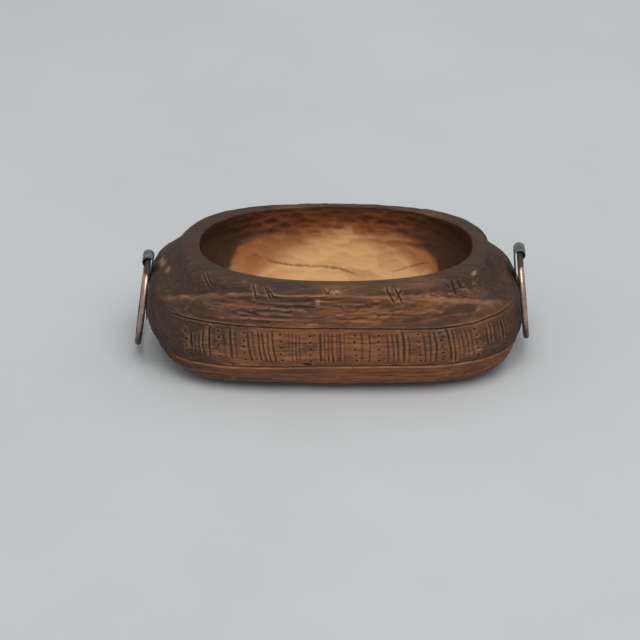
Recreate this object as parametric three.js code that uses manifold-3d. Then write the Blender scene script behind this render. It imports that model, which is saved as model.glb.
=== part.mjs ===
// A hand-carved wooden dish with a hanging ring handle at each end.
// Millimetres, +Z up. The origin is the middle of the flat foot that the dish stands on. +X runs
// along the dish to the right, and -Y is the long side that faces the viewer.

import * as THREE from 'three';
import { mergeVertices } from 'three/addons/utils/BufferGeometryUtils.js';
import Module from 'manifold-3d';

const wasm = await Module();
wasm.setup();

// Outside of the dish. Each station is one level plan outline: its height above the foot, how far it
// reaches to the left end, to the right end and to each long side, and how square the plan is
// (power 2 is an ellipse, more is squarer). The two ends were cut by eye and differ.
const foot = { z: 0, left: 89, right: 90, side: 34, power: 4 };
const heel = { z: 4.7, left: 100, right: 105, side: 50, power: 3.8 };
const underside = { z: 16, left: 111, right: 115.5, side: 59.5, power: 3.4 };
const belly = { z: 36, left: 119, right: 121, side: 64.5, power: 3 };
const collarDrawnIn = 3.5;
const collar = { z: 75.5, left: 98.5, right: 98.6, side: belly.side - collarDrawnIn, power: 2.4 };
const rim = { z: 79, left: 96.5, right: 98, side: 56.5, power: 2.3 };

// The ends slope in above the shoulder, but the long sides run straight from belly to collar.
const shoulder = { z: 57, left: 116, right: 114.5, power: 2.85 };
const slope = { z: 71, left: 102, right: 100.5, power: 2.5 };
for (const station of [shoulder, slope]) {
  station.side = THREE.MathUtils.mapLinear(station.z, belly.z, collar.z, belly.side, collar.side);
}
const outside = [foot, heel, underside, belly, shoulder, slope, collar, rim];

// Hollow of the dish, from the opening down. It is undercut a little below the rim.
const opening = { z: rim.z, left: 84.5, right: 87.3, side: 48.8, power: 2.3 };
const undercut = { z: 66, left: 86, right: 88.5, side: 51, power: 2.4 };
const wallFoot = { z: 52, left: 81, right: 84.5, side: 48, power: 2.4 };
const bowlCurve = { z: 38, left: 69, right: 74, side: 39, power: 2.3 };
const bowlBottom = { z: 28, left: 50, right: 57, side: 26, power: 2.2 };
const floorEdge = { z: 24, left: 30, right: 36, side: 13, power: 2.1 };
const hollow = [floorEdge, bowlBottom, bowlCurve, wallFoot, undercut, opening];
const floorHeight = 23.2;

// Worn round edges of the rim.
const outerEdgeRadius = 2;
const innerEdgeRadius = 1.3;
const edgeSteps = 3;

// Sunk band of carving round the body, with a cut line along its lower and its upper edge.
const bandBottom = 25.6;
const bandTop = 53.2;
const bandDepth = 0.7;
const cutLineDepth = 1.3;
const cutLineWidth = 2;
const bandStartsFromMiddle = 20;
const bandFullFromMiddle = 38;

// Groups of upright knife cuts across the band, on the side that faces the viewer and on the far
// side. Places run to the right of the middle as one faces that side: the first cut and the last.
// Each cut leans to the left by so much on its way up, between two heights.
const nearCuts = [
  { first: -108, last: -101, count: 3, leans: 0.5, low: 31, high: 49 },
  { first: -88.9, last: -83.8, count: 3, leans: 1.2, low: 30.5, high: 45 },
  { first: -81.6, last: -77.3, count: 2, leans: 1, low: 28, high: 50.5 },
  { first: -67.5, last: -61, count: 3, leans: 2.6, low: 27.5, high: 51 },
  { first: -52, last: -37.5, count: 6, leans: 2.8, low: 27.2, high: 51.3 },
  { first: -27.2, last: -21.2, count: 4, leans: 0.6, low: 28, high: 51.5 },
  { first: -7.6, last: 7, count: 7, leans: 0.6, low: 27, high: 51.5 },
  { first: 18.2, last: 22.6, count: 2, leans: 0.3, low: 28, high: 50.5 },
  { first: 34, last: 47.4, count: 5, leans: 1, low: 27.5, high: 51 },
  { first: 57.6, last: 64.2, count: 3, leans: 0.6, low: 27.5, high: 50.8 },
  { first: 73.2, last: 87, count: 6, leans: 1.5, low: 27, high: 51 },
  { first: 96.8, last: 109.5, count: 6, leans: -0.6, low: 34, high: 50 },
];
const farCuts = [
  { first: -106, last: -98, count: 4, leans: 0.8, low: 31, high: 49 },
  { first: -84, last: -72, count: 6, leans: 1.2, low: 27.5, high: 51 },
  { first: -60, last: -55.5, count: 3, leans: 0.4, low: 28, high: 50.5 },
  { first: -44, last: -30, count: 6, leans: 2, low: 27.2, high: 51.2 },
  { first: -18, last: -11, count: 4, leans: -0.8, low: 27.5, high: 51 },
  { first: 2, last: 17, count: 7, leans: 0.5, low: 27, high: 51.4 },
  { first: 29, last: 33.5, count: 2, leans: 0.4, low: 28, high: 50.5 },
  { first: 45, last: 57, count: 5, leans: 1.4, low: 27.5, high: 51 },
  { first: 69, last: 76, count: 4, leans: 0.6, low: 28, high: 50.8 },
  { first: 88, last: 96, count: 4, leans: 1, low: 29, high: 50 },
  { first: 104, last: 109, count: 3, leans: -0.5, low: 33, high: 49 },
];
const cutWidth = 1.6;
const cutDepth = 0.9;
const cutTaper = 2;

// How finely the dish is faceted, and how near two of its points lie to be one.
const pointsRound = 80;
const rowSpacing = 7.5;
const samePointWithin = 1e-4;

// How far a knife cut's shape stands out from the surface that it cuts.
const clearOfSurface = 1;

// Ring handles: bent wire rings, each hanging in an eye rolled from sheet iron.
const ringRadius = 28.9;
const wireDiameter = 4;
const wireSlack = 1.8;
const sheetThickness = 0.75;
const eyeLength = 11;
const rollSweep = 300;
const ringSteps = 44;
const wireSides = 10;
const leafLeavesWall = 56;
const seatGap = 0.3;

// Each end has its own hand-set handle: the eye's height, how far it lies in from the widest reach
// of the belly, and where the strap's leaf ends below. The ring leans outwards, and the near side
// of its plane is turned in towards the dish, both in degrees.
const leftEyeHeight = 66.5;
const leftEyeInset = 1.3;
const leftLeafBottom = 24;
const rightEyeHeight = 73.2;
const rightEyeInset = 3.5;
const rightLeafBottom = 29;
const leftEnd = {
  name: 'left',
  out: -1,
  eyeHeight: leftEyeHeight,
  eyeInset: leftEyeInset,
  leafBottom: leftLeafBottom,
  leanAngle: 8.2,
  turnAngle: 1.3,
};
const rightEnd = {
  name: 'right',
  out: 1,
  eyeHeight: rightEyeHeight,
  eyeInset: rightEyeInset,
  leafBottom: rightLeafBottom,
  leanAngle: 6.4,
  turnAngle: 1.5,
};
const ends = [leftEnd, rightEnd];

// Hand-made nails that hold each strap, and the holes they are driven into.
const upperNailHeight = 51;
const lowerNailHeight = 40;
const nailHeights = { upper: upperNailHeight, lower: lowerNailHeight };
const nailShankDiameter = 1.8;
const nailLength = 13;
const nailPoint = 3;
const nailHeadDiameter = 5;
const nailHeadRise = 1.3;
const nailHoleGap = 0.3;
const nailSides = 12;

// Finishes.
const oiledWood = { color: 0x5f4030, roughness: 0.7, metalness: 0 };
const greyIron = { color: 0x5d5e5c, roughness: 0.55, metalness: 0.8 };
const darkIron = { color: 0x3f3d3b, roughness: 0.6, metalness: 0.7 };
const copperWire = { color: 0x9a7565, roughness: 0.35, metalness: 0.9 };

const degrees = Math.PI / 180;

// Slopes for a curve through values at rising heights that never swings past them.
function steadySlopes(heights, values) {
  const last = heights.length - 1;
  const rise = values.slice(1).map((value, i) => (value - values[i]) / (heights[i + 1] - heights[i]));
  return values.map((value, i) => {
    if (i === 0) return rise[0];
    if (i === last) return rise[last - 1];
    const before = rise[i - 1];
    const after = rise[i];
    return before * after <= 0 ? 0 : (2 * before * after) / (before + after);
  });
}

// One measure of the stations, such as the left reach, read off at any height.
function measure(stations, key, z) {
  const heights = stations.map((station) => station.z);
  const values = stations.map((station) => station[key]);
  const slopes = steadySlopes(heights, values);
  const level = THREE.MathUtils.clamp(z, heights[0], heights.at(-1));
  const above = heights.findIndex((height) => height >= level);
  const i = Math.max(above - 1, 0);
  const span = heights[i + 1] - heights[i];
  const t = (level - heights[i]) / span;
  const fromLow = (1 + 2 * t) * (1 - t) ** 2 * values[i] + t * (1 - t) ** 2 * span * slopes[i];
  const fromHigh = t ** 2 * (3 - 2 * t) * values[i + 1] + t ** 2 * (t - 1) * span * slopes[i + 1];
  return fromLow + fromHigh;
}

function outlineAt(stations, z) {
  return {
    z,
    left: measure(stations, 'left', z),
    right: measure(stations, 'right', z),
    side: measure(stations, 'side', z),
    power: measure(stations, 'power', z),
  };
}

function shrunk(outline, inset, z = outline.z) {
  const { left, right, side, power } = outline;
  return { z, left: left - inset, right: right - inset, side: side - inset, power };
}

// How deep the carved band and its two cut lines are at a height.
function bandSunkAt(z) {
  const half = cutLineWidth / 2;
  const levels = [bandBottom, bandTop].flatMap((line) => [line - half, line, line + half]);
  const depths = [0, cutLineDepth, bandDepth, bandDepth, cutLineDepth, 0];
  if (z <= levels[0] || z >= levels.at(-1)) return 0;
  const above = levels.findIndex((level) => level >= z);
  const t = (z - levels[above - 1]) / (levels[above] - levels[above - 1]);
  return THREE.MathUtils.lerp(depths[above - 1], depths[above], t);
}

// The point of an outline that lies so far round from the right end, anticlockwise. The band fades
// out near the handles.
function pointOn(outline, angle, sunk = 0) {
  const across = Math.cos(angle);
  const aside = Math.sin(angle);
  const reach = across < 0 ? outline.left : outline.right;
  const bulge = Math.abs(across) ** outline.power + Math.abs(aside) ** outline.power;
  const stretch = bulge ** (-1 / outline.power);
  const fromMiddle = Math.abs(outline.side * aside * stretch);
  const inset = sunk * THREE.MathUtils.smoothstep(fromMiddle, bandStartsFromMiddle, bandFullFromMiddle);
  return [(reach - inset) * across * stretch, (outline.side - inset) * aside * stretch, outline.z];
}

function outlinePoints(outline, sunk = 0) {
  const angles = Array.from({ length: pointsRound }, (_, i) => (2 * Math.PI * i) / pointsRound);
  return angles.map((angle) => pointOn(outline, angle, sunk));
}

// Heights from the lowest station to the highest, through every station and evenly between them.
function rowHeights(stations, extra = []) {
  const heights = new Set(extra);
  stations.slice(1).forEach((station, i) => {
    const low = stations[i].z;
    const steps = Math.ceil((station.z - low) / rowSpacing);
    for (let step = 0; step <= steps; step += 1) {
      heights.add(low + ((station.z - low) * step) / steps);
    }
  });
  return [...heights].sort((a, b) => a - b);
}

// Rows of an edge that rounds up from a wall to the flat rim. It leans in over the wood by its
// radius: inwards (1) from the outside wall, and outwards (-1) from the hollow.
function edgeRows(outline, radius, inwards) {
  const rows = [];
  for (let step = 0; step <= edgeSteps; step += 1) {
    const angle = (step / edgeSteps) * 90 * degrees;
    const inset = inwards * radius * (1 - Math.cos(angle));
    const z = outline.z - radius * (1 - Math.sin(angle));
    rows.push(outlinePoints(shrunk(outline, inset, z)));
  }
  return rows;
}

// Joins rows of points into one closed surface, with a fan over the first and the last row.
function skinOver(rows, firstCentre, lastCentre) {
  const positions = [];
  const quad = (a, b, c, d) => positions.push(...a, ...b, ...c, ...a, ...c, ...d);
  rows.slice(1).forEach((upper, j) => {
    const lower = rows[j];
    lower.forEach((point, i) => {
      const next = (i + 1) % lower.length;
      quad(point, lower[next], upper[next], upper[i]);
    });
  });
  const first = rows[0];
  const last = rows.at(-1);
  first.forEach((point, i) => positions.push(...firstCentre, ...first[(i + 1) % first.length], ...point));
  last.forEach((point, i) => positions.push(...lastCentre, ...point, ...last[(i + 1) % last.length]));
  const geometry = new THREE.BufferGeometry();
  geometry.setAttribute('position', new THREE.Float32BufferAttribute(positions, 3));
  return geometry;
}

function solidFrom(geometry) {
  const bare = geometry.clone();
  bare.deleteAttribute('normal');
  bare.deleteAttribute('uv');
  const merged = mergeVertices(bare, samePointWithin);
  const mesh = new wasm.Mesh({
    numProp: 3,
    vertProperties: new Float32Array(merged.attributes.position.array),
    triVerts: new Uint32Array(merged.index.array),
  });
  return new wasm.Manifold(mesh);
}

function geometryFrom(solid) {
  const mesh = solid.getMesh();
  const geometry = new THREE.BufferGeometry();
  geometry.setAttribute('position', new THREE.Float32BufferAttribute(mesh.vertProperties, 3));
  geometry.setIndex([...mesh.triVerts]);
  const flat = geometry.toNonIndexed();
  flat.computeVertexNormals();
  return flat;
}

function pieceOf(name, geometry, finish) {
  const piece = new THREE.Mesh(geometry, new THREE.MeshStandardMaterial(finish));
  piece.name = name;
  return piece;
}

// The smooth end wall at the middle of one end: how far out it lies at a height.
function wallReach(end, z) {
  return measure(outside, end.name, z);
}

// The sheet of a strap lies against the wall, and hangs straight down below the belly.
function leafReach(end, z) {
  return wallReach(end, Math.max(z, belly.z)) + seatGap + sheetThickness / 2;
}

function eyeReach(end) {
  return belly[end.name] - end.eyeInset;
}

// How far a nail leans up from level, so that it stands square to the wall.
function wallTilt(end, z) {
  const step = 0.5;
  return Math.atan2(wallReach(end, z - step) - wallReach(end, z + step), 2 * step);
}

// A nail's own frame: its origin on the outer face of the strap, and +Y square out from the wall.
function nailFrame(end, z) {
  const tilt = wallTilt(end, z);
  const outwards = new THREE.Vector3(end.out * Math.cos(tilt), 0, Math.sin(tilt));
  const aside = new THREE.Vector3(0, 1, 0);
  const upwards = new THREE.Vector3().crossVectors(outwards, aside);
  const wall = new THREE.Vector3(end.out * wallReach(end, z), 0, z);
  const face = wall.addScaledVector(outwards, seatGap + sheetThickness);
  return new THREE.Matrix4().makeBasis(upwards, outwards, aside).setPosition(face);
}

// A round hole along a nail, so far into the wood and so far out from the strap's outer face.
function nailHole(end, z, inwards, outwards) {
  const length = inwards + outwards;
  const radius = nailShankDiameter / 2 + nailHoleGap;
  const hole = new THREE.CylinderGeometry(radius, radius, length, nailSides);
  hole.translate(0, (outwards - inwards) / 2, 0);
  hole.applyMatrix4(nailFrame(end, z));
  return solidFrom(hole);
}

// A long side: -1 faces the viewer and 1 is the far side. How far round the dish a place on it is,
// from its distance to the right of the middle as one faces that side.
function angleAt(side, place) {
  const x = -side * place;
  const { left, right, power } = belly;
  const across = x / (x < 0 ? left : right);
  const aside = side * (1 - Math.abs(across) ** power) ** (1 / power);
  return Math.atan2(aside, across);
}

// A point beside a place on the band, so far to the right along it and so far out from its floor.
function bandPoint(angle, z, along, out) {
  const outline = outlineAt(outside, z);
  const turned = 0.01;
  const [x, y] = pointOn(outline, angle);
  const [nextX, nextY] = pointOn(outline, angle + turned);
  const there = angle + (along * turned) / Math.hypot(nextX - x, nextY - y);
  return pointOn(outline, there, bandSunkAt(z) - out);
}

// The shape of one knife cut: a V that follows the band and comes up to the surface at its ends.
function knifeCut(angle, leans, low, high) {
  const halfWidth = (cutWidth / 2) * (1 + clearOfSurface / cutDepth);
  const middle = (low + high) / 2;
  const levels = [low, low + cutTaper, belly.z, middle + cutTaper, high - cutTaper, high];
  const rows = levels.map((z) => {
    const tip = z === low || z === high;
    const beside = (leans * (middle - z)) / (high - low);
    const half = tip ? halfWidth / 4 : halfWidth;
    const bottom = tip ? clearOfSurface / 2 : -cutDepth;
    return [
      bandPoint(angle, z, beside - half, clearOfSurface),
      bandPoint(angle, z, beside + half, clearOfSurface),
      bandPoint(angle, z, beside, bottom),
    ];
  });
  const centreOf = (row) => [0, 1, 2].map((axis) => (row[0][axis] + row[1][axis] + row[2][axis]) / 3);
  return solidFrom(skinOver(rows, centreOf(rows[0]), centreOf(rows.at(-1))));
}

// All the cuts of one long side.
function cutsOf(side, groups) {
  return groups.flatMap(({ first, last, count, leans, low, high }) => {
    const step = (last - first) / (count - 1);
    const places = Array.from({ length: count }, (_, i) => first + i * step);
    return places.map((place) => knifeCut(angleAt(side, place), leans, low, high));
  });
}

function makeBowl() {
  const half = cutLineWidth / 2;
  const bandLevels = [bandBottom, bandTop].flatMap((line) => [line - half, line, line + half]);
  const edgeStart = rim.z - outerEdgeRadius;
  const innerStart = opening.z - innerEdgeRadius;
  const outerRows = rowHeights(outside, bandLevels)
    .filter((z) => z < edgeStart)
    .map((z) => outlinePoints(outlineAt(outside, z), bandSunkAt(z)));
  const innerRows = rowHeights(hollow)
    .filter((z) => z < innerStart)
    .map((z) => outlinePoints(outlineAt(hollow, z)))
    .reverse();
  const rows = [
    ...outerRows,
    ...edgeRows(rim, outerEdgeRadius, 1),
    ...edgeRows(opening, innerEdgeRadius, -1).reverse(),
    ...innerRows,
  ];
  let bowl = solidFrom(skinOver(rows, [0, 0, foot.z], [0, 0, floorHeight]));
  for (const end of ends) {
    for (const z of Object.values(nailHeights)) {
      bowl = bowl.subtract(nailHole(end, z, nailLength + nailHoleGap, seatGap + sheetThickness));
    }
  }
  for (const cut of [...cutsOf(-1, nearCuts), ...cutsOf(1, farCuts)]) {
    bowl = bowl.subtract(cut);
  }
  return pieceOf('bowl', geometryFrom(bowl), oiledWood);
}

// The middle line of a strap's sheet, from the foot of its leaf up and round the eye. Outward and
// upward distances.
function strapLine(end) {
  const points = [];
  const wallSteps = 10;
  for (let step = 0; step <= wallSteps; step += 1) {
    const z = THREE.MathUtils.lerp(belly.z, leafLeavesWall, step / wallSteps);
    points.push(new THREE.Vector2(leafReach(end, z), z));
  }
  points.unshift(new THREE.Vector2(leafReach(end, end.leafBottom), end.leafBottom));
  const eye = new THREE.Vector2(eyeReach(end), end.eyeHeight);
  const rollRadius = (wireDiameter + wireSlack + sheetThickness) / 2;
  const away = points.at(-1).clone().sub(eye);
  const start = away.angle() - Math.acos(rollRadius / away.length());
  const rollSteps = 20;
  for (let step = 0; step <= rollSteps; step += 1) {
    const angle = start - ((rollSweep * step) / rollSteps) * degrees;
    points.push(new THREE.Vector2(Math.cos(angle), Math.sin(angle)).multiplyScalar(rollRadius).add(eye));
  }
  return points;
}

// The outline of a thin sheet that follows a line, half its thickness to each side.
function sheetOutline(line) {
  const sides = [1, -1].map((side) => line.map((point, i) => {
    const before = line[Math.max(i - 1, 0)];
    const after = line[Math.min(i + 1, line.length - 1)];
    const along = after.clone().sub(before).normalize();
    return new THREE.Vector2(-along.y, along.x).multiplyScalar((side * sheetThickness) / 2).add(point);
  }));
  return [...sides[0], ...sides[1].reverse()];
}

function makeStrap(end) {
  const outline = sheetOutline(strapLine(end)).map((point) => new THREE.Vector2(end.out * point.x, point.y));
  const sheet = new THREE.ExtrudeGeometry(new THREE.Shape(outline), {
    depth: eyeLength,
    bevelEnabled: false,
    curveSegments: 1,
  });
  sheet.translate(0, 0, -eyeLength / 2);
  sheet.rotateX(90 * degrees);
  let strap = solidFrom(sheet);
  const through = 2 * (seatGap + sheetThickness);
  for (const z of Object.values(nailHeights)) {
    strap = strap.subtract(nailHole(end, z, through, through));
  }
  return pieceOf(`${end.name}_strap`, geometryFrom(strap), greyIron);
}

function makeNail(end, place, z) {
  const shank = nailShankDiameter / 2;
  const head = nailHeadDiameter / 2;
  const profile = [
    new THREE.Vector2(0, seatGap - nailLength),
    new THREE.Vector2(shank, seatGap - nailLength + nailPoint),
    new THREE.Vector2(shank, seatGap),
    new THREE.Vector2(head, seatGap),
  ];
  const domeSteps = 4;
  for (let step = 1; step <= domeSteps; step += 1) {
    const angle = (step / domeSteps) * 90 * degrees;
    profile.push(new THREE.Vector2(head * Math.cos(angle), seatGap + nailHeadRise * Math.sin(angle)));
  }
  profile.at(-1).x = 0;
  const nail = new THREE.LatheGeometry(profile, nailSides);
  nail.applyMatrix4(nailFrame(end, z));
  return pieceOf(`${end.name}_nail_${place}`, geometryFrom(solidFrom(nail)), darkIron);
}

// A ring's group sits at its eye, leans outwards and is turned a little. The wire arches through
// the straight eye, so its middle is set half of that arch above the eye's axis.
function makeRing(end) {
  const arch = ringRadius - Math.sqrt(ringRadius ** 2 - (eyeLength / 2) ** 2);
  const wire = new THREE.TorusGeometry(ringRadius, wireDiameter / 2, wireSides, ringSteps);
  wire.rotateY(90 * degrees);
  const ring = pieceOf(`${end.name}_ring`, geometryFrom(solidFrom(wire)), copperWire);
  ring.position.z = arch / 2 - ringRadius;
  const hang = new THREE.Group();
  hang.rotation.y = -end.out * end.leanAngle * degrees;
  hang.add(ring);
  const eye = new THREE.Group();
  eye.position.set(end.out * eyeReach(end), 0, end.eyeHeight);
  eye.rotation.z = -end.out * end.turnAngle * degrees;
  eye.add(hang);
  return eye;
}

const dish = new THREE.Group();
dish.add(makeBowl());
for (const end of ends) {
  dish.add(makeStrap(end));
  for (const [place, z] of Object.entries(nailHeights)) {
    dish.add(makeNail(end, place, z));
  }
  dish.add(makeRing(end));
}

export default dish;
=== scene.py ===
"""A hand-carved wooden dish with a hanging ring handle at each end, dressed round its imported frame."""

import math

import bmesh
import bpy
import numpy as np
from mathutils import Matrix, Vector, kdtree


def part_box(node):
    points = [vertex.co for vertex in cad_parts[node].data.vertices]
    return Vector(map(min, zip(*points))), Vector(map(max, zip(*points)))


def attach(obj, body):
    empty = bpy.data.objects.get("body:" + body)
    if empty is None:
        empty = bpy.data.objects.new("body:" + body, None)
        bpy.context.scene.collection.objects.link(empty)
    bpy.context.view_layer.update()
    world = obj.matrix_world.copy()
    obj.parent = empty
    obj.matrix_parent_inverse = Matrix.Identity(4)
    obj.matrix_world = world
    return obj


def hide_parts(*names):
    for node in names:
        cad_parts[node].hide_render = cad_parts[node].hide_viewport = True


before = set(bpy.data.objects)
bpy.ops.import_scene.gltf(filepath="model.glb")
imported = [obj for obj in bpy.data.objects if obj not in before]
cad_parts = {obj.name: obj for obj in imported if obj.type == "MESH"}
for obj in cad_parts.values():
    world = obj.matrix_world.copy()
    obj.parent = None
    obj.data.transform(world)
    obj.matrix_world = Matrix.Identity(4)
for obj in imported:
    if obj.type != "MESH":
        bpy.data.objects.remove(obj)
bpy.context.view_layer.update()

# The body of the dish is one block of dark hardwood with its grain along the length. It is hewn
# with an adze, hollowed with a gouge, and then carved with a knife and an awl. Oil, smoke and hands
# have darkened it all over, except low in the hollow.

mm = 0.001
bowl_low, bowl_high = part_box("bowl")
band_depth = 0.7
reaches = {"left": -bowl_low.x, "right": bowl_high.x, "side": bowl_high.y + band_depth * mm}

# A station is one plan outline: its height, how far it lies in from the widest outline at the left
# end, the right end and the long sides, and how square it is (2 is an oval, more is squarer).
foot = (0.0, 30.0, 31.0, 30.5, 4.0)
heel = (4.7, 19.0, 16.0, 14.5, 3.8)
underside = (16.0, 8.0, 5.5, 5.0, 3.4)
belly = (36.0, 0.0, 0.0, 0.0, 3.0)
shoulder = (57.0, 3.0, 6.5, 1.9, 2.85)
slope = (71.0, 17.0, 20.5, 3.1, 2.5)
collar = (75.5, 20.5, 22.4, 3.5, 2.4)
rim = (79.0, 22.5, 23.0, 8.0, 2.3)
outside = np.array([foot, heel, underside, belly, shoulder, slope, collar, rim])

floor_edge = (24.0, 89.0, 85.0, 51.5, 2.1)
hollow_bottom = (28.0, 69.0, 64.0, 38.5, 2.2)
hollow_curve = (38.0, 50.0, 47.0, 25.5, 2.3)
wall_foot = (52.0, 38.0, 36.5, 16.5, 2.4)
undercut = (66.0, 33.0, 32.5, 13.5, 2.4)
opening = (79.0, 34.5, 33.7, 15.7, 2.3)
hollow = np.array([floor_edge, hollow_bottom, hollow_curve, wall_foot, undercut, opening])
floor_height = 23.2


def steady_curve(heights, values, at):
    """Values read off a curve through stations at rising heights. It never swings past them."""
    rise = np.diff(values) / np.diff(heights)
    product = rise[:-1] * rise[1:]
    total = rise[:-1] + rise[1:]
    turning = np.where(product > 0, 2 * product / np.where(total == 0, 1, total), 0)
    slopes = np.concatenate([rise[:1], turning, rise[-1:]])
    at = np.clip(at, heights[0], heights[-1])
    below = np.clip(np.searchsorted(heights, at) - 1, 0, len(heights) - 2)
    span = heights[below + 1] - heights[below]
    t = (at - heights[below]) / span
    from_low = (1 + 2 * t) * (1 - t) ** 2 * values[below] + t * (1 - t) ** 2 * span * slopes[below]
    from_high = t**2 * (3 - 2 * t) * values[below + 1] + t**2 * (t - 1) * span * slopes[below + 1]
    return from_low + from_high


def plan_at(stations, z):
    """The left, right and side reach in mm, and the squareness, at heights in mm."""
    left, right, side, power = (
        steady_curve(stations[:, 0], stations[:, column], z) for column in range(1, 5)
    )
    return (
        reaches["left"] / mm - left,
        reaches["right"] / mm - right,
        reaches["side"] / mm - side,
        power,
    )


def outline_point(stations, z, turn, inset=0.0):
    """A point of the outline at a height, turned so far round from the right end. All in mm."""
    left, right, side, power = plan_at(stations, z)
    across, aside = np.cos(turn), np.sin(turn)
    reach = np.where(across < 0, left, right) - inset
    stretch = (np.abs(across) ** power + np.abs(aside) ** power) ** (-1 / power)
    return reach * across * stretch, (side - inset) * aside * stretch


def turn_of(stations, x, y, z):
    """How far round the outline at its height a point lies."""
    left, right, side, _ = plan_at(stations, z)
    return np.arctan2(y / side, x / np.where(x < 0, left, right))


# The rows of the block, from the middle of its foot up the outside, over the rim and down to the
# middle of the hollow: the stations, a height, how far in from that outline, and 1 in the hollow.
# They stand close where the band's edge lines run. The first row and the last are drawn together
# to a line, which closes the foot and the floor.
band_bottom, band_top = 25.6, 53.2
columns, line_step = 320, 1.15
outside_heights = (
    0.8, 2.6, 5.0, 9.0, 13.0, 16.4, 18.8,
    *np.arange(20.2, 27.3, line_step),
    *np.linspace(28.4, 47.6, 10),
    *np.arange(49.4, 55.3, line_step),
    57.3, 59.8, 62.3, 64.8, 67.2, 69.4, 71.4, 73.2, 74.8, 76.2, 77.2,
)
hollow_heights = (
    75.8, 72.0, 68.0, 64.0, 60.5, 57.5, 54.7, 52.0, 49.3, 46.7,
    44.2, 41.8, 39.5, 37.3, 35.0, 32.5, 30.2, 28.2, 26.2, 24.6,
)
rows = [(outside, 0.0, inset, 0.0) for inset in (31.0, 27.0, 21.0, 14.0, 6.0, 1.6)]
rows += [(outside, height, 0.0, 0.0) for height in outside_heights]
rows += [
    (outside, 78.0, 0.2, 0.0),
    (outside, 78.8, 1.0, 0.1),
    (outside, 79.0, 2.4, 0.2),
    (outside, 79.0, 5.0, 0.4),
    (hollow, 79.0, -1.8, 0.6),
    (hollow, 78.7, -0.6, 0.8),
    (hollow, 77.9, 0.0, 1.0),
]
rows += [(hollow, height, 0.0, 1.0) for height in hollow_heights]
rows += [(hollow, floor_edge[0] - drop, 4.0 * drop, 1.0) for drop in (0.3, 0.8)]
rows += [(hollow, floor_height, inset, 1.0) for inset in (6.5, 9.5, 11.0)]

bpy.ops.object.select_all(action="DESELECT")
bpy.ops.mesh.primitive_circle_add(vertices=columns, radius=1.0)
dish = bpy.context.object
dish.name = "carved_body"
bpy.ops.object.mode_set(mode="EDIT")
bpy.ops.mesh.select_all(action="SELECT")

# The columns stand evenly round the belly, so that each row of facets is even too.
even_turns = np.linspace(-math.pi, math.pi, 4001)
belly_x, belly_y = outline_point(outside, belly[0], even_turns)
belly_length = np.concatenate([[0], np.cumsum(np.hypot(np.diff(belly_x), np.diff(belly_y)))])
column_turns = np.interp(
    np.linspace(0, belly_length[-1], columns, endpoint=False), belly_length, even_turns
)
cage = bmesh.from_edit_mesh(dish.data)
cage.verts.layers.float.new("turn")
cage.verts.layers.float.new("in_hollow")
turn_layer = cage.verts.layers.float["turn"]
for vertex, turn in zip(sorted(cage.verts, key=lambda v: math.atan2(v.co.y, v.co.x)), column_turns):
    vertex[turn_layer] = turn
for number, (stations, z, inset, in_hollow) in enumerate(rows):
    if number:
        bpy.ops.mesh.extrude_region_move()
    cage = bmesh.from_edit_mesh(dish.data)
    turn_layer = cage.verts.layers.float["turn"]
    hollow_layer = cage.verts.layers.float["in_hollow"]
    row = [vertex for vertex in cage.verts if vertex.select]
    x, y = outline_point(stations, z, np.array([vertex[turn_layer] for vertex in row]), inset)
    if number in (0, len(rows) - 1):
        y *= 0
    for vertex, px, py in zip(row, x, y):
        vertex.co = Vector((px, py, z)) * mm
        vertex[hollow_layer] = in_hollow
    bmesh.update_edit_mesh(dish.data)
bpy.ops.mesh.select_all(action="SELECT")
bpy.ops.mesh.remove_doubles(threshold=0.001 * mm)
bpy.ops.mesh.normals_make_consistent(inside=False)


def order_of(joined):
    """A number that sorts edges and faces by the points they join."""
    first, second, *others = sorted(vertex.index for vertex in joined.verts)
    return (first * 1e5 + second) * 1e5 + (others[0] if others else 0)


# Extruding leaves edges and faces in an order that changes from run to run, and the tool marks
# below follow that order, so it is set here.
cage = bmesh.from_edit_mesh(dish.data)
cage.verts.index_update()
cage.edges.sort(key=order_of)
cage.faces.sort(key=order_of)
bpy.ops.object.mode_set(mode="OBJECT")
edge_ends = np.zeros(len(dish.data.edges) * 2, np.int32)
dish.data.edges.foreach_get("vertices", edge_ends)
dish.data.edges.foreach_set("vertices", np.sort(edge_ends.reshape(-1, 2)).ravel())
bpy.ops.object.modifier_add(type="SUBSURF")
dish.modifiers["Subdivision"].levels = 2
dish.modifiers["Subdivision"].render_levels = 2
bpy.ops.object.modifier_apply(modifier="Subdivision")


def read_points(mesh, what):
    """A mesh's points or normals as an array."""
    values = np.zeros(len(mesh.vertices) * 3, np.float32)
    mesh.vertices.foreach_get(what, values)
    return values.reshape(-1, 3).astype(float)


def read_attribute(mesh, name):
    """One number for each point of a mesh."""
    values = np.zeros(len(mesh.vertices), np.float32)
    mesh.attributes[name].data.foreach_get("value", values)
    return values.astype(float)


def write_attribute(mesh, name, values):
    """Paints one number on each point of a mesh."""
    attribute = mesh.attributes.new(name, "FLOAT", "POINT")
    attribute.data.foreach_set("value", values.astype(np.float32))


def soft_step(low, high, value):
    """0 below low, 1 above high and a smooth rise between them."""
    t = np.clip((value - low) / (high - low), 0, 1)
    return t * t * (3 - 2 * t)


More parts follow.
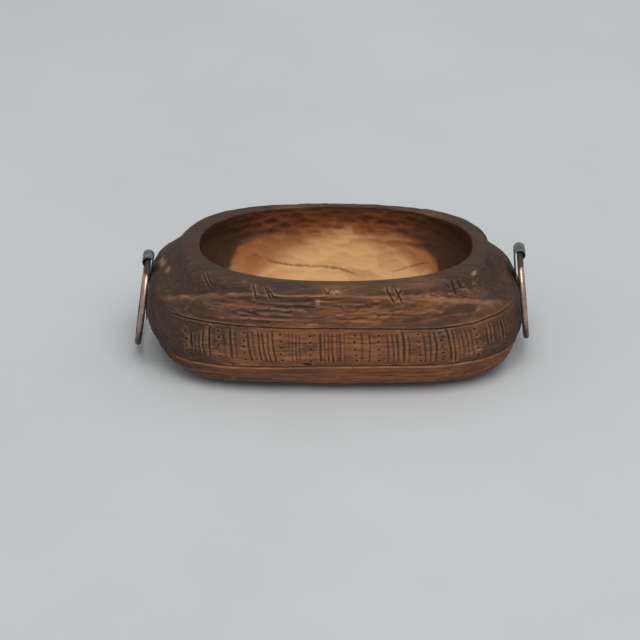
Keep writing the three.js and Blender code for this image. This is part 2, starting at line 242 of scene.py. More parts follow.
def lumps(points, size, seed):
    """Smooth random values from -1 to 1, whose lumps have a size in mm along each axis."""
    lattice = np.random.default_rng(seed).uniform(-1, 1, (32, 32, 32))
    cells = points / np.array(size)
    whole = np.floor(cells).astype(int)
    part = cells - whole
    part = part * part * (3 - 2 * part)
    total = np.zeros(len(points))
    for dx in (0, 1):
        for dy in (0, 1):
            for dz in (0, 1):
                weight = np.ones(len(points))
                for axis, step in enumerate((dx, dy, dz)):
                    weight *= part[:, axis] if step else 1 - part[:, axis]
                corner = (whole + (dx, dy, dz)) % 32
                total += weight * lattice[corner[:, 0], corner[:, 1], corner[:, 2]]
    return total


def scoops(points, stretch, spacing, seed):
    """Tool marks: squared distance to the nearest one's middle, and its own tone from 0 to 1."""
    scaled = points / np.array(stretch) / spacing
    dice = np.random.default_rng(seed)
    cells = {}
    for index in dice.permutation(len(points))[: len(points) // 6]:
        cells.setdefault(tuple(np.floor(scaled[index]).astype(int)), index)
    centres = kdtree.KDTree(len(cells))
    for number, index in enumerate(cells.values()):
        centres.insert(scaled[index], number)
    centres.balance()
    found = [centres.find(point) for point in scaled]
    tones = dice.random(len(cells))
    return np.array([mark[2] for mark in found]) ** 2, tones[[mark[1] for mark in found]]


def fissures(points, size, width, seed):
    """Thin lines that run where smooth noise changes sign: 1 on a line and 0 beside it."""
    return np.clip(1 - np.abs(lumps(points, size, seed)) / width, 0, 1)


points = read_points(dish.data, "co") / mm
normals = read_points(dish.data, "normal")
in_hollow = read_attribute(dish.data, "in_hollow")
x, y, z = points.T
outer = 1 - soft_step(0.15, 0.6, in_hollow)
inner = soft_step(0.85, 1.0, in_hollow)
turn = turn_of(outside, x, y, z)
edges = np.zeros(len(dish.data.edges) * 2, np.int64)
dish.data.edges.foreach_get("vertices", edges)
edge_start, edge_end = edges.reshape(-1, 2).T
neighbours = np.bincount(edges, minlength=len(points))


def smoothed(values, times):
    """Values at the points, each averaged with its neighbours so many times."""
    for _ in range(times):
        total = np.bincount(edge_start, values[edge_end], len(points))
        total += np.bincount(edge_end, values[edge_start], len(points))
        values = 0.5 * values + 0.5 * total / neighbours
    return values


# A mark is placed by how far right it is of the middle of its side, as one faces it: along the
# belly, or straight across where it lies above that. The grain follows the outside unrolled.
near_side, far_side = -1, 1
belly_place = np.interp(turn, even_turns, belly_length)
unrolled = np.stack([belly_place, 0 * z, z], axis=1)
near_x = np.where(y < 0, x, 1e3)
far_x = np.where(y > 0, -x, 1e3)


def along_side(side):
    """How far along the belly each point lies from the middle of a long side."""
    whole = belly_length[-1]
    middle = np.interp(side * math.pi / 2, even_turns, belly_length)
    return (belly_place - middle + whole / 2) % whole - whole / 2


def place_along(side, x_mm):
    """How far along the belly a mark lies that is so far right of the middle of a long side."""
    on_side = (side * even_turns > 0) & (np.abs(even_turns) < math.pi)
    middle = np.interp(side * math.pi / 2, even_turns, belly_length)
    return np.interp(x_mm, -side * belly_x[on_side], belly_length[on_side]) - middle


near_along = along_side(near_side)

# How far each tool and the years have moved the surface at each point, in mm. Hewing comes first.
# The adze went along the sides and upright round the ends, and left the wood under each strap flat.
at_end = soft_step(0.78, 0.93, np.abs(x) / np.where(x < 0, reaches["left"], reaches["right"]) * mm)
strap_seat = soft_step(9.0, 7.0, np.abs(y)) * soft_step(90, 100, np.abs(x)) * soft_step(62, 56, z)
facets, facet_tone = scoops(unrolled, (2.6, 1.0, 0.8), 8.0, 13)
end_facets, end_tone = scoops(points, (1.0, 1.0, 2.2), 8.5, 14)
facet_tone = (1 - at_end) * facet_tone + at_end * end_tone
hewn = 0.35 * lumps(points, (60, 26, 22), 11) + 0.25 * lumps(points, (26, 12, 9), 12)
hewn += 0.5 * np.clip((1 - at_end) * facets + at_end * end_facets, 0, 1.2) - 0.35
hewn += 0.3 * (facet_tone - 0.5)
hewn *= 1 - 0.6 * soft_step(26, 29, z) * soft_step(51, 48, z)

# Below the rim the side falls to a ragged edge, which sits lower towards the ends.
edge_line = (
    (-112, 54.5), (-102, 60.0), (-92, 63.4), (-72, 68.2), (-57, 71.2), (-38, 72.9), (-24, 74.2), (4, 74.4),
    (29, 73.2), (54, 70.2), (66, 68.1), (76, 66.1), (85, 63.8), (94, 61.0), (104, 57.3), (112, 53.5),
)
edge_height = np.interp(x, *np.array(edge_line).T)
edge_height += 0.8 * lumps(unrolled, (17, 60, 300), 18) + 0.35 * lumps(unrolled, (5, 40, 300), 19)
above_edge = z - edge_height
hollowed = 1.2 * soft_step(0.1, 2.4, above_edge) * soft_step(11.0, 3.5, above_edge)
hollowed *= 1 - soft_step(98, 112, np.abs(x))

# The grain has weathered into ridges and fissures, most of all between the band and that edge.
toward_end = soft_step(52, 100, np.abs(x))
in_panel = soft_step(52.5, 55.0, z) * soft_step(1.0, -0.5, above_edge) * (1 - toward_end)
grain = 0.13 * lumps(unrolled, (17, 9, 1.8), 15) + 0.10 * lumps(unrolled, (7, 9, 1.2), 16)
grain *= 1 - 0.7 * toward_end
long_torn = fissures(unrolled, (44, 9, 3.0), 0.2, 42)
long_torn *= soft_step(-0.2, 0.3, lumps(unrolled, (17, 9, 5), 43))
fine_torn = fissures(unrolled, (12, 9, 1.9), 0.26, 44)
fine_torn *= soft_step(-0.1, 0.4, lumps(unrolled, (14, 9, 4), 45))
torn = np.maximum(long_torn, 0.7 * fine_torn) * (0.2 + 0.8 * in_panel)
fade_near_floor = soft_step(0.0, 5.0, z)
height_change = hewn + grain * (1 + 1.6 * in_panel) - hollowed - 0.55 * torn * (1 - toward_end)
height_change = np.minimum(height_change * (1 - strap_seat), 0.25) * outer * fade_near_floor

# The rim was cut by eye and is worn smooth, so it only rises and falls a little.
on_rim = np.clip(1 - np.abs(in_hollow - 0.4) / 0.6, 0, 1)
rim_wave = -0.3 + 0.3 * lumps(points, (30, 24, 60), 17) + 0.1 * lumps(points, (9, 8, 60), 18)

# Gouge marks run down the walls of the hollow and along the grain on its floor.
wall_marks, wall_tone = scoops(points, (1.5, 1.0, 0.6), 7.2, 21)
floor_marks, floor_tone = scoops(points, (2.0, 1.1, 1.0), 7.0, 22)
steep = soft_step(46, 60, z)
gouge_tone = steep * wall_tone + (1 - steep) * floor_tone
gouged = 1.65 * np.clip(steep * wall_marks + (1 - steep) * floor_marks, 0, 1.2) - 0.45
gouged *= 1 - 0.6 * soft_step(50, 72, np.abs(x))
gouged += 0.25 * (smoothed(gouge_tone, 3) - 0.5)
gouged += 0.3 * lumps(points, (34, 20, 20), 23) + 0.06 * lumps(points, (14, 1.6, 1.6), 24)
height_change += inner * gouged

# Last came the knife and the awl. This is how deep they went at each point.
carved = np.zeros(len(points))


def cut(along, start, end, width, depth, ragged, seed):
    """One knife cut on the outside, from one place to another, each as distance along and height."""
    start, end = np.array(start, float), np.array(end, float)
    low, high = np.minimum(start, end) - width, np.maximum(start, end) + width
    near = (along > low[0]) & (along < high[0]) & (z > low[1]) & (z < high[1]) & (outer > 0.02)
    place = np.stack([along[near], z[near]], axis=1)
    length = np.linalg.norm(end - start)
    direction = (end - start) / length
    reached = (place - start) @ direction
    ragged_by = ragged * lumps(points[near], (5, 5, 5), seed)
    beside = np.abs((place - start) @ np.array([-direction[1], direction[0]]) + ragged_by)
    taper = soft_step(-width / 2, width, reached) * soft_step(-width / 2, width, length - reached)
    depths = depth * taper * np.clip(1 - beside / (width / 2), 0, 1) ** 0.8 * outer[near]
    carved[near] = np.maximum(carved[near], depths)


def prick(along, place, width, depth):
    """One hole made with an awl."""
    near = np.hypot(along - place[0], z - place[1])
    near = np.where(outer > 0.5, near, width)
    np.maximum(carved, depth * soft_step(0, 1, 1.25 - near / (width / 2)), out=carved)


# The sunk band: its edge lines were cut by hand along both long sides and die out at the ends.
# Handling has rubbed the near side smooth close to its left end.
line_depth = 1.6
rubbed = soft_step(-95, -104, x) * (y < 0)
from_middle = soft_step(20, 38, np.abs(y)) * (1 - 0.85 * rubbed)
wobble = 0.3 * lumps(points, (26, 200, 200), 31) + 0.2 * lumps(points, (6, 200, 200), 32)
near_top = np.interp(x, (-98, -72, 4, 40, 64, 87, 96), (52.2, 52.0, 52.2, 51.6, 50.4, 50.7, 51.9))
near_bottom = np.interp(x, (-83, -65, -20, 34, 67, 90), (20.8, 21.5, 23.3, 24.9, 24.1, 24.3))
top_line = z - (np.where(y < 0, near_top, band_top) + wobble)
bottom_line = (np.where(y < 0, near_bottom, band_bottom) + wobble) - z
inside_band = np.minimum(soft_step(0.3, -1.0, top_line), soft_step(0.3, -1.0, bottom_line))
band = band_depth * inside_band
for line, steep_side, gentle_side in ((top_line, 0.6, 1.9), (bottom_line, 0.7, 1.3)):
    groove = np.where(line > 0, 1 - line / steep_side, 1 + line / gentle_side)
    band = np.maximum(band, line_depth * np.clip(groove, 0, 1))
height_change -= outer * from_middle * band
# Painted highlight: the strips just above the top line and just below the bottom line, where those edges
# catch the light.
line_edge_highlight = np.clip(1 - np.abs(top_line - 1.2) / 0.9, 0, 1)
line_edge_highlight += np.clip(1 - np.abs(bottom_line - 1.3) / 1.2, 0, 1)
line_edge_highlight = np.clip(line_edge_highlight, 0, 1) * from_middle

# Groups of upright cuts: where the first is, where the last is, how many, their lean and height.
near_cuts = [
    (-108.0, -101.0, 3, 0.5, 29.7, 47.7),
    (-88.9, -83.8, 3, 1.2, 29.2, 43.7),
    (-81.6, -77.3, 2, 1.0, 26.7, 49.2),
    (-67.5, -61.0, 3, 2.6, 26.2, 49.7),
    (-52.0, -37.5, 6, 2.8, 25.9, 50.0),
    (-27.2, -21.2, 4, 0.6, 26.7, 50.2),
    (-7.6, 7.0, 7, 0.6, 25.7, 50.2),
    (18.2, 22.6, 2, 0.3, 26.7, 49.2),
    (34.0, 47.4, 5, 1.0, 26.2, 49.7),
    (57.6, 64.2, 3, 0.6, 26.2, 49.5),
    (73.2, 87.0, 6, 1.5, 25.7, 49.7),
    (96.8, 109.5, 6, -0.6, 32.7, 48.7),
]
near_dots = (-93.0, -72.4, -56.2, -33.2, -14.8, 13.2, 28.3, 53.4, 67.8, 90.3)
far_cuts = [
    (-106.0, -98.0, 4, 0.8, 31.0, 49.0),
    (-84.0, -72.0, 6, 1.2, 27.5, 51.0),
    (-60.0, -55.5, 3, 0.4, 28.0, 50.5),
    (-44.0, -30.0, 6, 2.0, 27.2, 51.2),
    (-18.0, -11.0, 4, -0.8, 27.5, 51.0),
    (2.0, 17.0, 7, 0.5, 27.0, 51.4),
    (29.0, 33.5, 2, 0.4, 28.0, 50.5),
    (45.0, 57.0, 5, 1.4, 27.5, 51.0),
    (69.0, 76.0, 4, 0.6, 28.0, 50.8),
    (88.0, 96.0, 4, 1.0, 29.0, 50.0),
    (104.0, 109.0, 3, -0.5, 33.0, 49.0),
]
far_dots = (-91.0, -66.5, -50.0, -24.5, -4.5, 23.0, 39.0, 63.0, 82.0)
dot_top, dot_pitch, dots_in_column = 47.0, 4.6, 5
dot_width, dot_depth = 1.8, 1.1
dice = np.random.default_rng(41)


def carve_group(along, first, last, count, lean, low, high):
    """A group of upright cuts side by side, no two quite alike."""
    for number, place in enumerate(np.linspace(first, last, count)):
        place += dice.uniform(-0.4, 0.4)
        tilt = lean * dice.uniform(0.7, 1.3) + dice.uniform(-0.3, 0.3)
        bottom = low + dice.uniform(-0.5, 2.2)
        top = high - dice.uniform(-0.4, 2.6)
        width = dice.uniform(1.3, 2.3)
        depth = dice.uniform(0.35, 0.95)
        start, end = (place + tilt / 2, bottom), (place - tilt / 2, top)
        cut(along, start, end, width, depth, 0.35, 100 + number)


def carve_dots(along, place):
    """A column of pricked dots."""
    for number in range(dots_in_column):
        beside = place + dice.uniform(-0.45, 0.45) + 0.25 * number
        height = dot_top - number * dot_pitch + dice.uniform(-0.5, 0.5)
        prick(along, (beside, height), dot_width * dice.uniform(0.85, 1.1), dot_depth)


# The far side carries the same kinds of marks in an order of its own.
for side, groups, dotted in ((near_side, near_cuts, near_dots), (far_side, far_cuts, far_dots)):
    along = along_side(side)
    for first, last, count, lean, low, high in groups:
        first, last = place_along(side, first), place_along(side, last)
        carve_group(along, first, last, count, lean, low, high)
    for place in dotted:
        carve_dots(along, place_along(side, place))

# Pairs and crosses of short notches step along the shoulder under the rim.
near_notches = (
    ((-78.7, 78.0), (-75.6, 73.0)),
    ((-81.0, 77.2), (-77.4, 71.6)),
    ((-49.8, 78.2), (-47.6, 70.2)),
    ((-42.2, 78.2), (-38.4, 70.6)),
    ((-41.0, 77.6), (-36.6, 72.2)),
    ((-6.2, 78.2), (-2.0, 74.6)),
    ((-2.0, 78.2), (-5.0, 74.4)),
    ((0.2, 77.8), (2.6, 74.4)),
    ((32.4, 78.6), (37.6, 68.5)),
    ((38.0, 77.8), (42.4, 68.2)),
    ((42.2, 77.0), (38.8, 70.6)),
    ((73.0, 77.2), (76.6, 68.6)),
    ((76.8, 76.4), (80.4, 70.4)),
)
notch_width, near_notch_depth, far_notch_depth, notch_wander = 1.4, 0.95, 0.9, 0.2
far_notch_top, far_notch_foot, pair_pitch, pair_gap = 76.0, 69.0, 27.0, 5.5
for start, end in near_notches:
    cut(near_x, start, end, notch_width, near_notch_depth, notch_wander, 51)
for place in np.arange(-84, 100, pair_pitch):
    for step in (0, pair_gap):
        beside = place + step + dice.uniform(-1, 1)
        foot_of_notch = (beside + dice.uniform(1, 3.5), far_notch_foot)
        cut(far_x, (beside, far_notch_top), foot_of_notch, notch_width, far_notch_depth, notch_wander, 52)
carved *= 1 - 0.7 * rubbed
height_change -= carved

# Drying has opened cracks along the grain, and a knot has fallen out low in the band.
# Those in the hollow are lines of places across and heights, and those in the side have a place
# along it, a height and a length.
hollow_cracks = (
    ((-62, 53.3), (-47, 46.2), (-38.5, 43.1), (-22.2, 39.9), (3.9, 38.6), (16.5, 35.6)),
    ((31, 36.6), (46, 40.8), (64, 47.4)),
)
side_cracks = (
    (-30.0, 65.5, 46.0), (38.0, 61.0, 52.0), (15.0, 42.4, 90.0), (-75.0, 12.0, 40.0), (45.0, 15.5, 60.0),
)
crack_depth, knot_depth = 0.8, 1.6
knot_place, knot_height, knot_wide, knot_high = -16.3, 25.2, 3.6, 1.8
cracked = np.zeros(len(points))
for line in hollow_cracks:
    line_x, line_z = np.array(line).T
    height = np.interp(x, line_x, line_z) + 0.5 * lumps(points, (7, 300, 300), 61)
    open_by = soft_step(line_x[0], line_x[0] + 25, x) * soft_step(line_x[-1], line_x[-1] - 8, x)
    open_by *= 0.75 + 0.35 * lumps(points, (9, 300, 300), 62)
    gap = np.clip(1 - np.abs(z - height) / (0.5 + 0.3 * open_by), 0, 1) * inner * (y > 0)
    cracked = np.maximum(cracked, gap * open_by)
for number, (place, height, length) in enumerate(side_cracks):
    level = height + 1.0 * lumps(points, (16, 300, 300), 70 + number)
    ends = np.clip(1 - ((near_along - place) / (length / 2)) ** 2, 0, 1)
    gap = np.clip(1 - np.abs(z - level) / 0.6, 0, 1) * ends * outer * (y < 0)
    cracked = np.maximum(cracked, 0.7 * gap)
height_change -= crack_depth * cracked
off_knot = (near_along - place_along(near_side, knot_place)) / knot_wide
knot = np.hypot(off_knot, (z - knot_height) / knot_high)
height_change -= knot_depth * outer * soft_step(1.1, 0.3, knot)

moved = points + normals * height_change[:, None]
moved[:, 2] += on_rim * rim_wave
moved = np.clip(moved, np.array(bowl_low) / mm, np.array(bowl_high) / mm)
dish.data.vertices.foreach_set("co", (moved * mm).astype(np.float32).ravel())
dish.data.update()

# Where the surface stands proud, hands have worn it light, and painted highlights are added along the
# band's edge lines and the ragged edge. Where it is sunk it is darkened with painted shade and dirt,
# which is mostly left out low in the hollow, and a painted contact shadow darkens the wood just above
# the floor.
average = np.stack([smoothed(axis, 10) for axis in moved.T], axis=1)
proud = np.einsum("ij,ij->i", moved - average, normals)
wear_and_highlight = soft_step(0.03, 0.2, proud) * (1 - 0.6 * at_end) * (1 - soft_step(0.5, 0.7, in_hollow))
wear_and_highlight *= 1 - 0.6 * soft_step(0, 2, above_edge) * soft_step(45, 70, np.abs(x))
# Painted highlight along the lip just under the ragged edge.
ragged_edge_highlight = np.clip(1 - np.abs(above_edge + 0.5) / 1.3, 0, 1)
ragged_edge_highlight *= soft_step(-0.5, 0.3, lumps(points, (22, 9, 40), 83))
wear_and_highlight = np.maximum(wear_and_highlight, 0.8 * outer * ragged_edge_highlight * (1 - soft_step(100, 113, np.abs(x))))
wear_and_highlight = np.maximum(wear_and_highlight, 0.5 * outer * line_edge_highlight * (0.6 + 0.4 * lumps(points, (9, 9, 40), 84)))
# Painted shade with dirt in sunk places, mostly left out low in the hollow.
grime_and_shade = soft_step(0.04, 0.28, -proud) * (1 - 0.85 * inner * soft_step(38, 30, z))
# Painted shade with dirt in the knife cuts and awl holes, the cracks, the fissures and the knot hole.
grime_and_shade = np.maximum(grime_and_shade, 0.9 * soft_step(0.1, 0.75, carved))
grime_and_shade = np.maximum(grime_and_shade, 0.9 * soft_step(0.2, 0.8, cracked))
grime_and_shade = np.maximum(grime_and_shade, 0.45 * torn * (1 - at_end) * outer)
grime_and_shade = np.maximum(grime_and_shade, outer * soft_step(1.15, 0.5, knot))
# Painted contact shadow: the wood is darkened within a few mm of the floor.
grime_and_shade = np.maximum(grime_and_shade, 0.6 * soft_step(5.0, 1.0, z))

# Some patches are worn down to bright flecks: where each is, and how far it reaches along and up.
fleck_patches = (
    (-31, 39, 20, 12), (-70, 32, 8, 6), (88, 32, 18, 6), (64, 69.5, 15, 3.2),
    (82, 70, 8, 3.6), (0, 76.5, 7, 2.5), (-9.5, 70.5, 3, 4), (-60, 24, 22, 4),
)
fleck = np.zeros(len(points))
for place, height, wide, high in fleck_patches:
    off = ((near_x - place) / wide) ** 2 + ((z - height) / high) ** 2
    fleck = np.maximum(fleck, np.exp(-np.minimum(off, 50)) * outer)

# The handled rim and ends are grey. The wood is warmest in the middle of the carved sides.
hewn_tone = smoothed(facet_tone, 5) - 0.5
warm = 0.28 + 0.42 * np.exp(-(((x - 22) / 62) ** 2)) - 0.38 * soft_step(-0.5, 1.5, above_edge)
warm += 0.4 * lumps(unrolled, (34, 9, 6), 91) + 0.35 * hewn_tone + 0.45 * fleck
# Below the band the wood is made warmer and lighter: painted light for what the low strip gets from the
# floor and the front.
warm += 0.2 * soft_step(27, 23, z) + 0.25 * soft_step(24, 20, z) + 0.2 * in_panel * soft_step(0, 40, x)
warm += inside_band * (0.15 * soft_step(75, 40, np.abs(x)) - 0.35 * soft_step(-40, -70, x))
# The wood grows warmer towards the right, partly its own tone and partly painted light from the right; the
# right end is painted lighter than the left for the same light.
warm += 0.0016 * x - 0.12 * inside_band * soft_step(50, 70, x)
warm -= toward_end * (0.25 + 0.3 * soft_step(50, 60, z))
warm *= 1 - (0.85 - 0.35 * soft_step(-20, 20, x)) * at_end
warm *= 1 - 0.8 * on_rim * soft_step(30, 0, y)
warm += (0.22 + 0.2 * soft_step(58, 66, z)) * at_end * soft_step(0, 50, x) * outer
warm += inside_band * (0.3 * np.exp(-(((near_x + 30) / 24) ** 2)) - 0.1 * soft_step(45, 60, x))
warm += in_panel * (0.4 * lumps(unrolled, (11, 9, 2.6), 92) + 0.2 * hewn_tone)
warm += 0.15 * in_panel * soft_step(30, 55, x)
warm = (1 - inner) * warm + inner * np.exp(-(((x - 1) / 52) ** 4)) * soft_step(79.5, 70, z)
tone = outer * facet_tone + (1 - outer) * gouge_tone

# Small chips show bare wood: where each is, and its half width along and up. Those at the left
# end are given as points.
side_chips = (
    (-9.5, 70.4, 1.1, 2.6), (1.0, 77.0, 1.4, 0.9), (87.6, 76.0, 1.6, 1.3), (-13.0, 55.0, 3.0, 0.5),
)
end_chips = ((-110.3, 2.9, 63.8), (-108.5, -3.5, 65.5), (-104.7, -14.9, 67.8))
chip = np.zeros(len(points))
for place, height, half_wide, half_high in side_chips:
    off = np.hypot((near_x - place) / half_wide, (z - height) / half_high)
    off += 0.5 * lumps(points, (1.6, 1.6, 1.2), 85)
    chip = np.maximum(chip, 0.6 * soft_step(1.2, 0.5, off) * outer)
for place in end_chips:
    off = np.linalg.norm((points - np.array(place)) / np.array((3.4, 4.0, 2.2)), axis=1)
    off += 0.6 * lumps(points, (2.5, 2.5, 1.5), 86)
    chip = np.maximum(chip, 0.55 * soft_step(1.3, 0.2, off) * outer)

# The hollow is pale low down and stained dark towards the rim and at both end walls.
uneven = 8.0 * (smoothed(gouge_tone, 2) - 0.5)
uneven += 2.0 * lumps(points, (15, 10, 8), 81) + 1.5 * lumps(points, (6, 5, 3), 82)
honey_edge = np.interp(x, (-76, -70, -65, -50, 7, 43, 58, 66, 73), (20, 44, 53, 57, 64, 60, 54, 47, 20))
straw_edge = 62 - 0.28 * np.abs(x - 6) - 0.0025 * (x - 6) ** 2
pale = 0.5 * soft_step(3, -3, z - honey_edge - uneven)
pale += 0.5 * soft_step(6, -8, z - straw_edge - 0.7 * uneven)
pale *= inner
for name, values, times in (
    ("wear_and_highlight", wear_and_highlight, 1),
    ("grime_and_shade", grime_and_shade, 1),
    ("pale", pale, 2),
    ("inside", inner, 0),
    ("warm", warm, 2),
    ("tone", tone, 2),
    ("rim", on_rim, 2),
    ("chip", chip, 1),
    ("fleck", fleck, 1),
):
    write_attribute(dish.data, name, smoothed(values, times))

most_triangles = 195000
bpy.ops.object.modifier_add(type="DECIMATE")
dish.modifiers["Decimate"].ratio = most_triangles / (2 * len(dish.data.polygons))
bpy.ops.object.modifier_apply(modifier="Decimate")
bpy.ops.object.shade_smooth()


def new_material(name):
    """An empty node material, with its shader and the object's own coordinates."""
    material = bpy.data.materials.new(name)
    material.use_nodes = True
    shader = material.node_tree.nodes["Principled BSDF"]
    place = material.node_tree.nodes.new("ShaderNodeTexCoord").outputs["Object"]
    return material, shader, place


def speckle(material, place, scale, detail, roughness, twist=0.0):
    """Noise whose grains come so many to the metre along each axis."""
    nodes, links = material.node_tree.nodes, material.node_tree.links
    mapping = nodes.new("ShaderNodeMapping")
    mapping.inputs["Scale"].default_value = scale
    noise = nodes.new("ShaderNodeTexNoise")
    noise.inputs["Scale"].default_value = 1.0
    noise.inputs["Detail"].default_value = detail
    noise.inputs["Roughness"].default_value = roughness
    noise.inputs["Distortion"].default_value = twist
    links.new(place, mapping.inputs["Vector"])
    links.new(mapping.outputs["Vector"], noise.inputs["Vector"])
    return noise.outputs["Fac"]


def from_mesh(material, name):
    """A value that is painted on the mesh."""
    attribute = material.node_tree.nodes.new("ShaderNodeAttribute")
    attribute.attribute_name = name
    return attribute.outputs["Fac"]


def stretched(material, value, low, high, to_low=0.0, to_high=1.0):
    """A value moved from one range to another."""
    node = material.node_tree.nodes.new("ShaderNodeMapRange")
    node.inputs["From Min"].default_value = low
    node.inputs["From Max"].default_value = high
    node.inputs["To Min"].default_value = to_low
    node.inputs["To Max"].default_value = to_high
    material.node_tree.links.new(value, node.inputs["Value"])
    return node.outputs["Result"]


def feed(material, socket, value):
    """Links a value that varies, and sets one that doesn't."""
    if isinstance(value, bpy.types.NodeSocket):
        material.node_tree.links.new(value, socket)
    else:
        socket.default_value = (*value, 1.0) if isinstance(value, tuple) else value


def blended(material, amount, start, end):
    """Two colours blended by an amount."""
    node = material.node_tree.nodes.new("ShaderNodeMix")
    node.data_type = "RGBA"
    feed(material, node.inputs["Factor"], amount)
    feed(material, node.inputs["A"], start)
    feed(material, node.inputs["B"], end)
    return node.outputs["Result"]


def sums(material, how, first_value, second_value):
    """Simple arithmetic on two values."""
    node = material.node_tree.nodes.new("ShaderNodeMath")
    node.operation = how
    feed(material, node.inputs[0], first_value)
    feed(material, node.inputs[1], second_value)
    return node.outputs["Value"]


def roughen(material, shader, height, distance, strength):
    """Small relief in the surface."""
    bump = material.node_tree.nodes.new("ShaderNodeBump")
    bump.inputs["Strength"].default_value = strength
    bump.inputs["Distance"].default_value = distance
    feed(material, bump.inputs["Height"], height)
    material.node_tree.links.new(bump.outputs["Normal"], shader.inputs["Normal"])


umber = (0.034, 0.0185, 0.012)
grey_brown = (0.060, 0.0375, 0.027)
red_brown = (0.235, 0.086, 0.035)
worn_and_highlight_orange = (0.40, 0.185, 0.092)
bare_wood = (0.44, 0.245, 0.135)
dirt_and_shade = (0.015, 0.009, 0.007)
dark_stain = (0.050, 0.024, 0.013)
stained_brown = (0.25, 0.084, 0.029)
honey = (0.35, 0.145, 0.058)
straw = (0.62, 0.355, 0.155)
grain_brown = (0.42, 0.20, 0.085)

wood, shader, place = new_material("carved_wood")
streaks = speckle(wood, place, (34.0, 420.0, 420.0), 6.0, 0.65, 0.2)
belts = speckle(wood, place, (9.0, 95.0, 95.0), 3.0, 0.55, 0.3)
patches = speckle(wood, place, (20.0, 26.0, 30.0), 3.0, 0.6)
nicks = speckle(wood, place, (85.0, 560.0, 560.0), 5.0, 0.62, 0.3)
fibres = speckle(wood, place, (120.0, 2200.0, 2200.0), 2.0, 0.6)

# The outside is brown under dark streaks, with worn edges, painted highlights along the band's lines
# and the ragged edge, and nicks that show bare wood.
plain = stretched(wood, from_mesh(wood, "rim"), 0.0, 1.0, 1.0, 0.25)
redness = sums(wood, "ADD", from_mesh(wood, "warm"), stretched(wood, patches, 0.3, 0.7, -0.3, 0.3))
dark_side = blended(wood, redness, grey_brown, red_brown)
belt_shade = sums(wood, "MULTIPLY", stretched(wood, belts, 0.42, 0.62, 0.0, 0.5), plain)
dark_side = blended(wood, belt_shade, dark_side, umber)
streak_shade = sums(wood, "MULTIPLY", stretched(wood, streaks, 0.50, 0.68, 0.0, 0.7), plain)
dark_side = blended(wood, streak_shade, dark_side, umber)
streak_light = sums(wood, "MULTIPLY", stretched(wood, streaks, 0.46, 0.30, 0.0, 0.45), plain)
dark_side = blended(wood, sums(wood, "MULTIPLY", streak_light, redness), dark_side, worn_and_highlight_orange)
# Wear and the painted highlights along the edges turn the wood orange here.
wear_and_highlight_share = sums(wood, "MULTIPLY", from_mesh(wood, "wear_and_highlight"), stretched(wood, streaks, 0.25, 0.6, 0.2, 0.9))
wear_and_highlight_share = sums(wood, "MULTIPLY", wear_and_highlight_share, plain)
dark_side = blended(wood, wear_and_highlight_share, dark_side, worn_and_highlight_orange)
nick_shade = sums(wood, "MULTIPLY", stretched(wood, nicks, 0.52, 0.66, 0.0, 0.5), plain)
dark_side = blended(wood, nick_shade, dark_side, umber)
fleck_light = stretched(wood, nicks, 0.48, 0.34, 0.0, 0.75)
fleck_share = stretched(wood, from_mesh(wood, "fleck"), 0.0, 1.0, 0.12, 0.95)
fleck_light = sums(wood, "MULTIPLY", sums(wood, "MULTIPLY", fleck_light, fleck_share), plain)
dark_side = blended(wood, fleck_light, dark_side, bare_wood)

# The inside goes from straw on the floor over honey to a dark stain.
gouge_shade = stretched(wood, from_mesh(wood, "tone"), 0.2, 0.9, 0.0, 0.55)
gouge_shade = sums(wood, "MULTIPLY", gouge_shade, stretched(wood, patches, 0.3, 0.6))
pale_side = blended(wood, gouge_shade, straw, honey)
pale_side = blended(wood, stretched(wood, streaks, 0.52, 0.70, 0.0, 0.45), pale_side, grain_brown)
stained = blended(wood, from_mesh(wood, "warm"), dark_stain, stained_brown)
stained = blended(wood, stretched(wood, belts, 0.45, 0.65, 0.0, 0.6), stained, umber)
honey_shade = stretched(wood, from_mesh(wood, "tone"), 0.1, 0.9, 0.0, 0.9)
honey_side = blended(wood, honey_shade, honey, stained_brown)
warm_side = blended(wood, stretched(wood, from_mesh(wood, "pale"), 0.0, 0.5), stained, honey_side)
inside_colour = blended(wood, stretched(wood, from_mesh(wood, "pale"), 0.5, 1.0), warm_side, pale_side)

colour = blended(wood, from_mesh(wood, "inside"), dark_side, inside_colour)
# Painted shade with dirt in sunk places, and the painted contact shadow at the foot.
colour = blended(wood, stretched(wood, from_mesh(wood, "grime_and_shade"), 0.0, 1.0, 0.0, 0.8), colour, dirt_and_shade)
colour = blended(wood, from_mesh(wood, "chip"), colour, bare_wood)
feed(wood, shader.inputs["Base Color"], colour)
feed(wood, shader.inputs["Roughness"], stretched(wood, streaks, 0.3, 0.7, 0.55, 0.78))
shader.inputs["Specular IOR Level"].default_value = 0.11
relief = sums(wood, "ADD", streaks, sums(wood, "MULTIPLY", fibres, 0.35))
roughen(wood, shader, relief, 0.5 * mm, 0.6)


def finish_piece(piece, name, material, body, node):
    """Names a finished piece, gives it its material and fastens it where its node belongs."""
    piece.name = name
    piece.data.materials.clear()
    piece.data.materials.append(material)
    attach(piece, body)
    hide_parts(node)


finish_piece(dish, "carved_body", wood, "root", "bowl")

# Each ring hangs in an eye at the top of a strip of sheet iron. The strip was cut with shears, lies
# flat against the end wall under two nails, and its top is rolled outwards. It is matt grey, with
# painted shade inside the roll and on the sheet just under it.

wire_width, wire_slack, sheet_thickness, strip_width = 4.0, 1.8, 0.75, 11.0
leaf_leaves_wall, seat_gap, roll_sweep = 56.0, 0.3, math.radians(300)
corner_cut, sheared_edge, dent_depth = 1.8, 0.16, 0.16
ends = {
    "left": {"out": -1, "eye": (117.7, 66.5), "leaf_bottom": 24.0, "lean": 8.2, "turn": 1.3},
    "right": {"out": 1, "eye": (117.5, 73.2), "leaf_bottom": 29.0, "lean": 6.4, "turn": 1.5},
}


